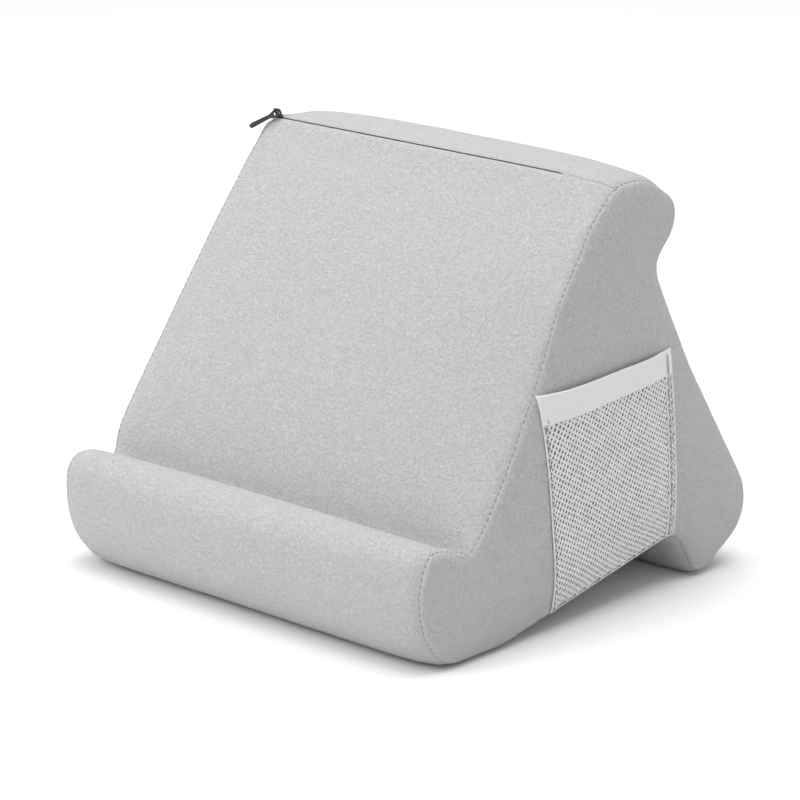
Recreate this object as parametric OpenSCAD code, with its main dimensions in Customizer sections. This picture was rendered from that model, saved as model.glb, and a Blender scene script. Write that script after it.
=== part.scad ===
// Soft wedge stand for a tablet: a foam core in a zipped plush cover, with a mesh
// pocket on one side. The section has a rounded lobe at one end of each of its
// three faces, so the stand can be turned to hold a tablet at three angles.
// X runs across the width, -Y faces the user, and Z is up from the floor.

/* [Cover] */
// Width across the side panels at the floor
width = 280; // [240:1:320]
// How far each side panel leans in between the floor and the top
side_lean = 12; // [0:0.5:16]
// Depth from the front of the lip to the tip of the rear foot
depth = 272; // [266:1:280]
// Height of the nose above the floor
height = 231; // [227:1:236]
// Thickness of the plush fabric
cover_t = 1.8; // [1.4:0.1:2]

/* [Lobes and seats] */
// Height of the front lip
lip_height = 71; // [67:1:74]
// Distance behind the front to the valley that holds the tablet
valley_y = 42; // [40:1:44]
// Height of the valley that holds the tablet
valley_z = 55; // [52:1:58]
// Distance behind the front to the zipped top seam
top_seam_y = 160; // [156:1:164]
// Distance behind the front to the tip of the nose
nose_y = 213; // [210:1:216]
// Distance behind the front to the notch under the nose
nose_notch_y = 192; // [189:1:194]
// Height of the notch under the nose
nose_notch_z = 179; // [176:1:182]
// Distance behind the front to the notch under the base
base_notch_y = 207; // [204:1:209]
// Height of the notch under the base
base_notch_z = 27; // [24:1:30]
// Distance behind the front to the sole of the rear foot
foot_y = 222; // [220:1:224]

/* [Core] */
// Thickness of the liner between the cover and the foam
liner_t = 0.6; // [0.4:0.1:0.8]
// Space left between neighbouring layers
layer_gap = 0.1; // [0.05:0.05:0.2]

/* [Zipper] */
// How far the zipper stops short of the right side panel, where the seam is sewn shut
zip_short = 34; // [0:1:60]
// Width of the slit between the two fabric flaps
slit_w = 1.6; // [1.5:0.1:2]
// Width of each half of the zipper tape
tape_w = 11; // [9:0.5:13]
// Gap along the middle of the closed chain
chain_gap = 1.6; // [1.5:0.1:1.8]
// Length of the slider's body
slider_len = 8; // [7:0.5:9]
// Length of the pull from its bar to its tip
pull_len = 18.5; // [15:0.5:22]
// Turn of the pull towards the front, from the direction of the zipper
pull_yaw = 42; // [38:1:46]
// Droop of the pull at rest
pull_droop = 12; // [8:1:13]

/* [Mesh pocket] */
// Distance behind the front to the top corner of the pocket's front edge
pocket_front_y = 97; // [94:1:100]
// Distance behind the front to the pocket's rear edge
pocket_rear_y = 206; // [200:1:207]
// Height of the pocket's mouth at its front edge
pocket_top_z = 128; // [122:1:130]
// How much higher the mouth is at the rear edge
pocket_rise = 6.5; // [0:0.5:8]
// Width of the elastic band along the mouth
band_w = 15; // [12:1:18]
// Distance of the pocket's outer wall from the middle of the stand
pocket_x = 142; // [141:0.5:142.5]
// Thickness of the mesh
mesh_t = 1; // [0.8:0.1:1.2]
// Thickness of the elastic band
band_t = 1.5; // [1.3:0.1:1.6]
// Width of the folded hem at the pocket's rear edge
hem_w = 6; // [5:0.5:7]

/* [Hidden] */
arc_steps = 8;
beyond = 60;                         // how far a cutting shape runs past what it cuts
lean_angle = atan(side_lean / height);
span_x = width + 2 * beyond;

// Corners of the section: distance behind the front, height, corner radius.
top_z = height - 1;
CORNERS = [
  [0, 0, 24],                        // front edge of the sole
  [1, lip_height, 15],               // top of the lip
  [valley_y, valley_z, 4],           // valley
  [118, 174, 250],                   // crown of the face
  [top_seam_y, top_z, 12],           // zipped top seam
  [nose_y - 14, height, 14],         // nose, above its tip
  [nose_y, height - 20, 14],         // nose, under its tip
  [nose_notch_y, nose_notch_z, 9],   // notch under the nose
  [depth + 12, base_notch_z, 28],    // rear foot
  [foot_y + 10, 0, 8],               // sole of the foot, rear
  [foot_y, 0, 4],                    // sole of the foot, front
  [base_notch_y, base_notch_z, 6],   // notch under the base
  [64, 0, 60]                        // where the base leaves the floor
];
VALLEY = 2;
TOP_SEAM = 4;
NOSE_NOTCH = 7;
BASE_NOTCH = 11;

function unit(v) = v / norm(v);
function corner(i) =
  let (c = CORNERS[(i + len(CORNERS)) % len(CORNERS)])
  [c[0] - depth / 2, c[1]];
function to_last(i) = unit(corner(i - 1) - corner(i));
function to_next(i) = unit(corner(i + 1) - corner(i));
function half_angle(i) = acos(to_last(i) * to_next(i)) / 2;
function inward(i) = unit(to_last(i) + to_next(i));
function arc_radius(i) = CORNERS[i][2];
function arc_centre(i) = corner(i) + inward(i) * arc_radius(i) / sin(half_angle(i));
function arc_middle(i) = arc_centre(i) - inward(i) * arc_radius(i);
function turned(v, a) = [v[0] * cos(a) - v[1] * sin(a), v[0] * sin(a) + v[1] * cos(a)];
function turn_sign(i) = sign(to_last(i)[0] * to_next(i)[1] - to_last(i)[1] * to_next(i)[0]);
function arc_points(i) =
  let (sweep = (90 - half_angle(i)) * turn_sign(i))
  [for (k = [0:arc_steps])
    arc_centre(i) - arc_radius(i) * turned(inward(i), sweep * (1 - 2 * k / arc_steps))];

module section() {
  polygon([for (i = [0:len(CORNERS) - 1]) each arc_points(i)]);
}

// A flat shape in Y and Z, drawn out along X.
module across(from_x, to_x) {
  translate([from_x, 0, 0]) rotate([90, 0, 90]) linear_extrude(to_x - from_x) children();
}

// The front view of the stand between its two leaning sides, set in by inset.
module between_sides(inset) {
  foot_half = width / 2 - inset;
  top_half = foot_half - side_lean * (height + beyond) / height;
  sunk_half = foot_half + side_lean * beyond / height;
  rotate([90, 0, 0]) linear_extrude(2 * depth, center = true) polygon([
    [-sunk_half, -beyond],
    [sunk_half, -beyond],
    [top_half, height + beyond],
    [-top_half, height + beyond]
  ]);
}

// The whole stand, set in by inset on every side.
module body(inset) {
  intersection() {
    across(-span_x / 2, span_x / 2) offset(delta = -inset) section();
    between_sides(inset);
  }
}

// The strip that runs right round the section, from one depth to another.
module strip(outer, inner, side_inset) {
  intersection() {
    across(-span_x / 2, span_x / 2) ring(outer, inner);
    between_sides(side_inset);
  }
}

module ring(outer, inner) {
  difference() {
    offset(delta = -outer) section();
    offset(delta = -inner) section();
  }
}

// One flat side of a fabric layer, at the left (-1) or the right (1).
module side(outer, inner, hand) {
  difference() {
    body(outer);
    between_sides(inner);
    translate([-hand * span_x / 2, 0, 0]) cube([span_x, 2 * depth, 3 * height], center = true);
  }
}

/* ---- Cover ---- */

MIDDLE = [0, 0.4 * height];

// The cut through the fabric at a seam runs from a point inside it to one outside.
function seam_inside(i) = arc_middle(i) + seam_cut * turn_sign(i) * inward(i);
function seam_outside(i) = arc_middle(i) - seam_cut * turn_sign(i) * inward(i);
seam_cut = 12;
sole_seam = [corner(0)[0] + CORNERS[0][2], 0];

module panel(from_points, far_points, to_points) {
  color("lightgray") intersection() {
    strip(0, cover_t, cover_t);
    across(-span_x / 2, span_x / 2) polygon(concat([MIDDLE], from_points, far_points, to_points));
  }
}

front_out = -depth / 2 - beyond;
rear_out = depth / 2 + beyond;
up_out = height + beyond;

module lip_panel() {
  panel(
    [sole_seam + [0, seam_cut], sole_seam - [0, seam_cut]],
    [[front_out, -beyond], [front_out, lip_height + beyond]],
    [seam_outside(VALLEY), seam_inside(VALLEY)]
  );
}

module face_panel() {
  difference() {
    panel(
      [seam_inside(VALLEY), seam_outside(VALLEY)],
      [[front_out, lip_height + beyond], [front_out, up_out]],
      [seam_outside(TOP_SEAM), seam_inside(TOP_SEAM)]
    );
    zip_slit();
  }
}

module nose_panel() {
  difference() {
    panel(
      [seam_inside(TOP_SEAM), seam_outside(TOP_SEAM)],
      [[front_out, up_out], [rear_out, up_out], [rear_out, nose_notch_z]],
      [seam_outside(NOSE_NOTCH), seam_inside(NOSE_NOTCH)]
    );
    zip_slit();
  }
}

module rear_panel() {
  panel(
    [seam_inside(NOSE_NOTCH), seam_outside(NOSE_NOTCH)],
    [[rear_out, nose_notch_z], [rear_out, -beyond], [corner(BASE_NOTCH)[0], -beyond]],
    [seam_outside(BASE_NOTCH), seam_inside(BASE_NOTCH)]
  );
}

module base_panel() {
  panel(
    [seam_inside(BASE_NOTCH), seam_outside(BASE_NOTCH)],
    [[corner(BASE_NOTCH)[0], -beyond]],
    [sole_seam - [0, seam_cut], sole_seam + [0, seam_cut]]
  );
}

module side_panel_left() {
  color("silver") side(0, cover_t, -1);
}

module side_panel_right() {
  color("silver") side(0, cover_t, 1);
}

/* ---- Liner and core ---- */

liner_depth = cover_t + layer_gap;
foam_depth = liner_depth + liner_t + layer_gap;

module liner_band() {
  color("white") difference() {
    strip(liner_depth, liner_depth + liner_t, liner_depth + liner_t);
    zip_room();
  }
}

module liner_side_left() {
  color("white") difference() {
    side(liner_depth, liner_depth + liner_t, -1);
    zip_room();
  }
}

module liner_side_right() {
  color("white") difference() {
    side(liner_depth, liner_depth + liner_t, 1);
    zip_room();
  }
}

module foam_core() {
  color("ivory") difference() {
    body(foam_depth);
    zip_room();
  }
}

/* ---- Zipper, in the top seam ---- */

// Depths of the layers below the cover's outer surface
plate_top = cover_t + 0.6;
plate_t = 0.7;
tape_top = plate_top + plate_t + 0.3;
tape_t = 0.5;
coil_t = 1.4;
lower_plate = tape_top + tape_t + coil_t + 0.3;
room_depth = lower_plate + plate_t + 0.6;

coil_w = 1.6;
slider_half_w = 3.6;
room_half_w = slider_half_w + 1;
chain_left = -(width / 2 - side_lean - cover_t - 2.5);
chain_right = -chain_left - zip_short;
stop_len = 1.2;
end_room = stop_len + 1.2 + slider_len / 2;
slider_x = chain_left + end_room;
slide_range = chain_right - end_room - slider_x;

zip_point = arc_middle(TOP_SEAM);
zip_tilt = atan2(-inward(TOP_SEAM)[1], -inward(TOP_SEAM)[0]) - 90;

// Places the zipper's own frame: X along the tape, Y across it, Z out of the cover.
module at_zip(x) {
  translate([x, zip_point[0], zip_point[1]]) rotate([zip_tilt, 0, 0]) children();
}

// A layer of the zipper that follows the curve of the top seam.
module zip_layer(from_x, to_x, outer, inner, from_y, to_y) {
  across(from_x, to_x) intersection() {
    ring(outer, inner);
    translate(zip_point) rotate(zip_tilt) translate([from_y, -3 * room_depth]) {
      square([to_y - from_y, 4 * room_depth]);
    }
  }
}

module zip_slit() {
  slit_end = chain_right + stop_len;
  at_zip(slit_end) translate([-span_x, -slit_w / 2, -2 * cover_t]) cube([span_x, slit_w, 4 * cover_t]);
}

module zip_room() {
  room_end = chain_right + stop_len;
  zip_layer(-span_x / 2, room_end, -1, tape_top + tape_t + 0.2, -tape_w - 2, tape_w + 2);
  zip_layer(-span_x / 2, room_end, -1, room_depth, -room_half_w, room_half_w);
}

module zip_tape_front() {
  color("gainsboro") {
    zip_layer(chain_left, chain_right, tape_top, tape_top + tape_t, -tape_w, -chain_gap / 2);
  }
}

module zip_tape_rear() {
  color("gainsboro") {
    zip_layer(chain_left, chain_right, tape_top, tape_top + tape_t, chain_gap / 2, tape_w);
  }
}

module zip_coil(hand) {
  coil_from = min(hand * chain_gap / 2, hand * (chain_gap / 2 + coil_w));
  color("darkgray") zip_layer(
    chain_left, chain_right,
    tape_top + tape_t, tape_top + tape_t + coil_t,
    coil_from, coil_from + coil_w
  );
}

module zip_coil_front() {
  zip_coil(-1);
}

module zip_coil_rear() {
  zip_coil(1);
}

// A stop fills the gap in the chain at one of its ends.
module zip_stop(stop_x) {
  color("dimgray") at_zip(stop_x) translate([0, 0, -(tape_top + tape_t + coil_t / 2)]) {
    cube([stop_len, chain_gap, coil_t], center = true);
  }
}

module zip_top_stop() {
  zip_stop(chain_left + stop_len / 2);
}

module zip_bottom_stop() {
  zip_stop(chain_right - stop_len / 2);
}

// The slider's two plates, the post that joins them through the chain, and the
// bridge that stands out through the slit and holds the pull.
bridge_half = 2.4;
bridge_t = 0.9;
bridge_wall = 0.9;
pivot_height = 2.5;
eye_half = pivot_height / 2;
bridge_top = pivot_height + eye_half + 0.8;
bar_r = 0.55;

module zip_slider() {
  from_x = slider_x - slider_len / 2;
  to_x = slider_x + slider_len / 2;
  post_len = 3;
  flange_t = 0.5;
  color("dimgray") difference() {
    union() {
      zip_layer(from_x, to_x, plate_top, plate_top + plate_t, -slider_half_w, slider_half_w);
      zip_layer(from_x, to_x, lower_plate, lower_plate + plate_t, -slider_half_w, slider_half_w);
      for (hand = [-1, 1]) {
        flange_from = min(hand * slider_half_w, hand * (slider_half_w - flange_t));
        zip_layer(
          from_x, to_x, tape_top + tape_t + 0.3, lower_plate + 0.2,
          flange_from, flange_from + flange_t
        );
      }
      at_zip(slider_x) {
        translate([-post_len / 2, -bridge_t / 2, -lower_plate - plate_t / 2]) {
          cube([post_len, bridge_t, lower_plate]);
        }
        translate([-bridge_half, -bridge_t / 2, -plate_top - plate_t / 2]) {
          cube([2 * bridge_half, bridge_t, bridge_top + plate_top + plate_t / 2]);
        }
      }
    }
    at_zip(slider_x) translate([0, 0, pivot_height]) {
      cube([2 * (bridge_half - bridge_wall), 3 * bridge_t, 2 * eye_half], center = true);
    }
  }
}

// The pull lies along its own X from its bar, which runs through the bridge's eye.
loop_half = 2.5;
loop_wall = 0.9;
loop_len = 4.3;
pull_t = 1.1;
tip_r = 2;
neck_r = 1.3;

module pull_outline() {
  difference() {
    union() {
      hull() {
        translate([0, -loop_half - loop_wall]) square([loop_len - 1.5, 2 * (loop_half + loop_wall)]);
        translate([loop_len + 1.2, 0]) circle(neck_r, $fn = 32);
      }
      hull() {
        translate([loop_len + 1.2, 0]) circle(neck_r, $fn = 32);
        translate([pull_len - tip_r, 0]) circle(tip_r, $fn = 48);
      }
    }
    translate([-1, -loop_half]) square([loop_len - 0.4, 2 * loop_half]);
  }
}

module zip_pull() {
  panel_r = tip_r - 0.8;
  color("dimgray") at_zip(slider_x) translate([0, 0, pivot_height]) {
    rotate([0, 0, 180 + pull_yaw]) rotate([0, pull_droop, 0]) {
      difference() {
        translate([0, 0, -pull_t / 2]) linear_extrude(pull_t) pull_outline();
        for (hand = [-1, 1]) {
          translate([0, 0, hand * pull_t / 2 - 0.2]) linear_extrude(0.4) hull() {
            translate([loop_len + 3.4, 0]) circle(neck_r - 0.7, $fn = 24);
            translate([pull_len - tip_r, 0]) circle(panel_r, $fn = 32);
          }
        }
      }
      rotate([90, 0, 0]) cylinder(h = 2 * (loop_half + loop_wall), r = bar_r, center = true, $fn = 48);
    }
  }
}

/* ---- Mesh pocket, on the right side panel ---- */

front_y = pocket_front_y - depth / 2;
rear_y = pocket_rear_y - depth / 2;
mouth_rear_z = pocket_top_z + pocket_rise;
front_lean = 8;
base_slope = base_notch_z / (base_notch_y - 64);
function base_z(y) = (y + depth / 2 - 64) * base_slope;
front_foot_y = front_y + front_lean;

// The pocket's outline on the side panel, narrowed by the widths given.
function pocket_points(front_in, rear_in, foot_in, top_out) = [
  [front_y + front_in, pocket_top_z + top_out],
  [rear_y - rear_in, mouth_rear_z + top_out],
  [rear_y - rear_in, base_z(rear_y) + foot_in],
  [front_foot_y + front_in, base_z(front_foot_y) + foot_in]
];

// Places a drawing in Y and Z on the right side panel, with X out of the panel.
module on_side() {
  translate([width / 2, 0, 0]) rotate([0, -lean_angle, 0]) children();
}

// The pocket's bulge: it starts on the side panel and ends in an upright wall.
module bulge(wall, top_out) {
  hull() {
    on_side() across(-0.2, 0) polygon(pocket_points(2 + wall, hem_w + wall, 3 + wall, top_out));
    across(pocket_x - wall - 0.2, pocket_x - wall) {
      polygon(pocket_points(16 + wall / 2, hem_w + 11 + wall / 2, 24 + wall, top_out));
    }
  }
}

// The mesh or the band: a flat hem on the side panel, and the bulge.
module pocket_wall(thick, from_drop, to_drop) {
  difference() {
    intersection() {
      union() {
        on_side() across(-0.2, layer_gap + thick) polygon(pocket_points(0, 0, 1, 0));
        bulge(mesh_t - thick, 0);
      }
      across(0, width) polygon([
        [front_y - beyond, pocket_line(front_y - beyond, from_drop)],
        [rear_y + beyond, pocket_line(rear_y + beyond, from_drop)],
        [rear_y + beyond, pocket_line(rear_y + beyond, to_drop)],
        [front_y - beyond, pocket_line(front_y - beyond, to_drop)]
      ]);
    }
    bulge(mesh_t, 5);
    on_side() translate([layer_gap - beyond, -depth, -beyond]) cube([beyond, 2 * depth, 2 * height]);
  }
}

// A line across the pocket, parallel to its mouth and drop below it.
function pocket_line(y, drop) =
  pocket_top_z - drop + pocket_rise * (y - front_y) / (rear_y - front_y);

module pocket_mesh() {
  color("whitesmoke") pocket_wall(mesh_t, height, band_w);
}

module pocket_elastic() {
  color("gainsboro") pocket_wall(band_t, band_w, 0);
}

stitch_y = rear_y - hem_w + 1.2;
tack_t = 0.5;

// A tack is a dense bar of thread across each end of the band.
module pocket_bar_tacks() {
  color("white") on_side() for (y = [front_y + 1, stitch_y]) {
    translate([layer_gap + band_t, y, pocket_line(y, band_w - 1.5)]) cube([tack_t, 0.9, band_w - 3]);
  }
}

stitch_pitch = 4;
stitch_len = 2.6;
stitches = floor((pocket_line(stitch_y, band_w) - base_z(stitch_y) - 8) / stitch_pitch);

module pocket_hem_stitches() {
  color("white") on_side() for (k = [0:stitches - 1]) {
    translate([layer_gap + mesh_t, stitch_y, base_z(stitch_y) + 5 + k * stitch_pitch]) {
      cube([tack_t, 0.6, stitch_len]);
    }
  }
}

side_panel_left();
side_panel_right();
lip_panel();
face_panel();
nose_panel();
rear_panel();
base_panel();
liner_band();
liner_side_left();
liner_side_right();
foam_core();
zip_tape_front();
zip_tape_rear();
zip_coil_front();
zip_coil_rear();
zip_top_stop();
zip_bottom_stop();
zip_slider();
zip_pull();
pocket_mesh();
pocket_elastic();
pocket_bar_tacks();
pocket_hem_stitches();
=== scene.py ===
"""Looks of a soft tablet stand: a foam wedge in a zipped plush cover with a mesh pocket.

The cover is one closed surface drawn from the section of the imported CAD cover. A cloth
simulation inflates it, and it is cut along its seams into the panels it is sewn from.
Lengths are in millimetres, and make_object turns them into metres.
"""

import math

import bpy
import numpy as np
from mathutils import Matrix, Vector, geometry
from mathutils.bvhtree import BVHTree
from mathutils.interpolate import poly_3d_calc
from mathutils.kdtree import KDTree


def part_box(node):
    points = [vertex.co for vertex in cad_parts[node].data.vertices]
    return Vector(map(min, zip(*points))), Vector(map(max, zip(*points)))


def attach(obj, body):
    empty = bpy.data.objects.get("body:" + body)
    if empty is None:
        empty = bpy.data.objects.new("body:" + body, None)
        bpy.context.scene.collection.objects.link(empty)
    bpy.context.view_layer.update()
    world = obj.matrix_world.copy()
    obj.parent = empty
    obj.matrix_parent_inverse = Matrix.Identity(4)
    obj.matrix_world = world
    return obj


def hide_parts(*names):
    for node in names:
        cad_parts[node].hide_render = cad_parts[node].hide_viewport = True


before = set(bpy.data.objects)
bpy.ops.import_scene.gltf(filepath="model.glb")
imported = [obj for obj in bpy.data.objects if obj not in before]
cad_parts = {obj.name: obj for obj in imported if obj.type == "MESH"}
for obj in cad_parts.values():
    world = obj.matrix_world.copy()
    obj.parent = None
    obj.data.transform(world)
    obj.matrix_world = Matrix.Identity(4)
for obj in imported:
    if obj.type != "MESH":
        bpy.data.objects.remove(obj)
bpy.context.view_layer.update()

MM = 0.001

# The strips that run round the section, in order from the front of the sole, and the
# seam that each one starts from.
STRIPS = ("lip_panel", "face_panel", "nose_panel", "rear_panel", "base_panel")
SEAMS = ("sole", "valley", "top", "nose_notch", "base_notch")
SIDES = {"side_panel_left": -1, "side_panel_right": 1}

# The surface is drawn at this spacing, and at the finer steps beside each seam.
FINE_STEP = 2.1
SEAM_STEPS = (0.6, 1.4, 2.6)
RING_STEPS = (0.5, 1.4, 2.8, 4.6)
CAGE_STEP = 3.8

COVER_T = 1.5
SEAM_INSET = 4.0      # the side seams lie this far inside the CAD's side planes
SIDE_BULGE = 4.8      # how far a side panel stands out from its seam
INSET_REACH = 26.0    # how far a side panel follows its seam inwards
INSET_BLEND = 12.0    # how evenly it follows the seam points around, away from the seam
SIDE_ROUND = 17.0     # width over which a side panel rounds over to its seam
GROOVE_DEPTH = 1.8    # of the crease along a side seam
GROOVE_REACH = 2.2

# Along each strip: share of its length, how deep its right and left ends are drawn in, over
# what width, and how far the left seam is set in besides. Ends with a depth below 0 stand up.
# These values are joined by lines, and blurred over a width.
END_SOFTNESS = 4.0
ENDS = {
    "lip_panel": (
        (0.00, 0.0, 5.5, 9, 9.0),
        (0.12, 5.0, 8.0, 10, 9.5),
        (0.20, 5.9, 8.0, 12, 9.0),
        (0.30, 4.5, 6.5, 12, 7.0),
        (0.42, 1.7, 4.6, 12, 5.0),
        (0.50, 1.5, 4.0, 12, 5.0),
        (0.60, 4.0, 2.8, 12, 6.0),
        (0.66, 3.6, 2.0, 11, 6.4),
        (0.72, 0.0, 0.6, 10, 6.4),
        (0.85, -1.4, 0.2, 9, 5.6),
        (0.93, -3.2, 1.2, 8, 3.4),
    ),
    "face_panel": (
        (0.00, -6.0, 1.0, 7, 0.0),
        (0.035, 0.0, 0.4, 8, -1.5),
        (0.08, 2.4, 0.0, 10, -2.5),
        (0.20, 4.1, 0.0, 13, -2.5),
        (0.45, 3.0, 0.0, 13, -1.5),
        (0.66, -2.0, 0.0, 12, 0.0),
        (0.80, -1.0, 0.0, 12, 0.0),
        (0.87, -2.2, 0.0, 12, 0.0),
        (0.93, 0.9, 0.5, 14, 0.0),
    ),
    "nose_panel": (
        (0.00, 3.5, 1.0, 18, 0.0),
        (0.17, 2.8, 3.5, 28, 0.0),
        (0.24, 3.6, 3.8, 30, 0.0),
        (0.36, 6.6, 4.5, 30, 0.0),
        (0.50, 5.6, 4.0, 27, 0.0),
        (0.70, -5.4, 2.5, 18, 0.0),
        (0.80, -6.8, 2.5, 17, 0.0),
        (0.94, -3.0, 2.2, 14, 0.0),
    ),
    "rear_panel": (
        (0.00, -1.4, 2.0, 12, 0.0),
        (0.25, 3.8, 3.5, 13, 0.0),
        (0.60, 3.0, 3.0, 13, 0.0),
        (0.75, 1.0, 2.0, 10, 0.0),
    ),
    "base_panel": (
        (0.00, 1.0, 1.0, 8, 0.0),
        (0.50, 0.8, 1.0, 9, 0.0),
        (0.60, 0.5, 2.0, 9, 2.0),
        (0.85, 0.5, 3.5, 9, 6.5),
    ),
}
# Depth and reach of the crease along each seam between two strips.
CREASES = {
    "sole": (0.8, 1.6),
    "valley": (4.6, 5.0),
    "top": (1.2, 1.8),
    "nose_notch": (0.8, 2.0),
    "base_notch": (0.8, 2.0),
}
NOTCH_SOFTNESS = 6.0  # the cloth spans the two notches behind, so they are blurred over this width,
NOTCH_REACH = 12.0    # as far as this from their seams

SLIT_HALF = 0.5       # half the width of the slit over the zipper
SLIT_ROLL = 0.8       # how far its edges are rolled in,
SLIT_FADE = 1.5       # which fades over this distance
SLIT_PAST = 1.0       # how far the slit runs past the tapes
SLIT_CLOSE = 3.0      # the length over which each end of it closes
SLIDER_DROP = 4.0     # the left end drops over this width at the slider
SLIDER_REACH = 7.0    # as far as this from the slit

# The cloth simulation that puffs up the cover.
PRESSURE = 4.0
LAST_FRAME = 20
START_NOISE = 0.15
NOISE_REACH = 8.0     # the noise grows over this distance from the seams
GATHERING = 0.12      # how much longer the cloth is along the seams than they are
GATHER_REACH = 9.0
TRAVEL_LIMIT = 2.5
SMOOTHING_TURNS = 4
SMOOTHING = 0.6
ZIP_CALM = 6.0        # the cloth keeps its drawn shape within about this distance of the zipper

# Layers inside the cover, by their depth below its surface.
INNER_STEP = 4.0
LINER_DEPTH = 2.2
LINER_T = 0.4
LINER_GAP = 13.0
FOAM_DEPTH = 4.0
FOAM_VOXEL = 3.0
ZIP_GROOVE = 6.0      # how much deeper the foam lies under the zipper,
GROOVE_WIDTH = 11.0   # over this width

# Stitches along the seams; their thread is painted dark as the shade of the seams' needle pits.
STITCH_PITCH = 3.6
STITCH_LENGTH = 2.4
STITCH_RADIUS = 0.26
STITCH_SINK = -0.1    # of its ends
STITCH_LIFT = 0.25    # of its middle, above its ends

TAPE_STEP = 0.9
TAPE_RIB = 0.05
COIL_PITCH = 1.15
COIL_WIRE = 0.27
COIL_POINTS = 10      # points in each turn of the coil
COIL_END = 1.5        # the coil ends this far before the CAD's chain

# Mesh pocket.
BAND_W = 15.0
HEM_W = 6.0
STRIP_STEP = 1.5      # along a strip,
STRIP_RIB = 0.5       # across it,
STRIP_ENDS = (0.05, 0.2, 0.5, 0.9)  # and from its rounded ends
NET_LIFT = 0.6        # the net lies this far off the panel
NET_BULGE = 0.35      # how far the net stands out, as a share of what the CAD's wall does
NET_RISE = (22.0, 24.0, 30.0)  # the distances over which it does, from its front, rear and foot
NET_RIPPLE = 0.9
NET_PITCH = 3.45      # between the holes in a row
NET_ROW = 1.81        # between the rows
NET_TURN = 10.5       # the rows of the net rise towards the rear
NET_WAVE = 0.5        # how far its rows stray,
NET_MARGIN = 6.0      # less so within this distance of its edges
NET_UNDER_BAND = 3.0
NET_EDGE = 0.3
NET_T = 0.5
HOLE_HALF = (0.95, 0.65)
HOLE_SPREAD = (0.82, 1.15)     # smallest and largest hole, as shares of that
HOLE_TURN = 57
EDGE_HALF = 0.6       # half the width of the bound edges
EDGE_HALF_T = 0.35
EDGE_LIFT = 0.4       # of the two edges on the doubled hem
HEM_LIFT = 0.65
HEM_PITCH = 4.0
HEM_STITCH = 2.6
FOLD_LIFT = 0.95
TACK_COUNT = 16
TACK_RADIUS = 0.2
# How far the pocket's corners are moved along the panel from the CAD's, as (rear, up) for the front
# and the rear one.
FOOT_SHIFT = np.array([(-4.0, 1.2), (-4.0, 2.2)])
MOUTH_SHIFT = np.array([(-2.5, 0.0), (-7.0, -0.5)])


# ---- Small helpers ----

def cad_points(node):
    """The vertices of a CAD node, in millimetres."""
    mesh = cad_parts[node].data
    points = np.empty(3 * len(mesh.vertices))
    mesh.vertices.foreach_get("co", points)
    return points.reshape(-1, 3) / MM


def smoothed(values, step, width):
    """Values along a closed line, blurred over a width."""
    reach = int(4 * width / step)
    offsets = np.arange(-reach, reach + 1) * step
    weights = np.exp(-0.5 * (offsets / width) ** 2)
    weights /= weights.sum()
    padded = np.concatenate([values[-reach:], values, values[:reach]])
    return np.apply_along_axis(np.convolve, 0, padded, weights, "valid")


def unit(vectors):
    return vectors / np.linalg.norm(vectors, axis=-1, keepdims=True)


def distances(line):
    """How far along a line of points each of them lies."""
    return np.concatenate([[0], np.cumsum(np.linalg.norm(np.diff(line, axis=0), axis=1))])


def points_at(line, along, at):
    """The points of a line at other distances along it."""
    return np.column_stack([np.interp(at, along, column) for column in line.T])


def outwards(closed):
    """The outward normals of a closed line of (y, z) points."""
    tangents = np.roll(closed, -1, axis=0) - np.roll(closed, 1, axis=0)
    return unit(np.column_stack([-tangents[:, 1], tangents[:, 0]]))


def fade(distance, reach):
    """From 1 at no distance to 0 well past the reach, along a bell curve."""
    return np.exp(-((distance / reach) ** 2))


def stations(length, step, end_steps=()):
    """Distances along a length, in even steps with the given finer ones at both ends."""
    ends = np.array((0.0,) + tuple(end_steps))
    count = max(1, round((length - 2 * ends[-1]) / step))
    middle = np.linspace(ends[-1], length - ends[-1], count + 1)
    return np.concatenate([ends[:-1], middle, length - ends[:-1][::-1]])


def quarter_round(distance, radius):
    """The height of a quarter circle at a distance from its foot, as a share of its radius."""
    return np.sqrt(1 - (1 - np.clip(distance / radius, 0, 1)) ** 2)


def eased(value):
    """From 0 to 1 along an S-shaped curve."""
    value = np.clip(value, 0, 1)
    return value * value * (3 - 2 * value)


def make_object(name, points, faces, material):
    """A smooth mesh object from points in millimetres."""
    mesh = bpy.data.meshes.new(name)
    mesh.from_pydata((np.asarray(points) * MM).tolist(), [], [list(map(int, f)) for f in faces])
    mesh.update()
    mesh.polygons.foreach_set("use_smooth", [True] * len(mesh.polygons))
    mesh.set_sharp_from_angle(angle=math.radians(50))
    mesh.materials.append(material)
    obj = bpy.data.objects.new(name, mesh)
    bpy.context.scene.collection.objects.link(obj)
    return obj


# ---- Section of the CAD cover ----

def side_plane():
    """Where the right side panel meets the floor, and how far it leans in per unit of height."""
    points = cad_points("side_panel_right")
    top = points[:, 2].max()
    foot_x = points[:, 0].max()
    top_x = points[points[:, 2] > top - 1.0, 0].max()
    return foot_x, (foot_x - top_x) / top


FOOT_X, LEAN = side_plane()


def flat_loop(node, on_plane):
    """The outline of a CAD node's flat end as (y, z) points; on_plane tells which points lie on it."""
    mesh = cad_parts[node].data
    points = cad_points(node).round(3)
    chosen = on_plane(points)
    mesh.calc_loop_triangles()
    edges = set()
    for triangle in mesh.loop_triangles:
        if all(chosen[v] for v in triangle.vertices):
            keys = [tuple(points[v, 1:]) for v in triangle.vertices]
            edges.update(zip(keys, keys[1:] + keys[:1]))
    following = {b: a for a, b in edges if (b, a) not in edges}
    loop = [min(following)]
    while following[loop[-1]] != loop[0]:
        loop.append(following[loop[-1]])
    return np.array(loop)


def section_loop():
    """The outline of the CAD section, up the front and over the top."""
    return flat_loop("side_panel_right", lambda p: p[:, 0] > FOOT_X - LEAN * p[:, 2] - 0.05)


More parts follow.
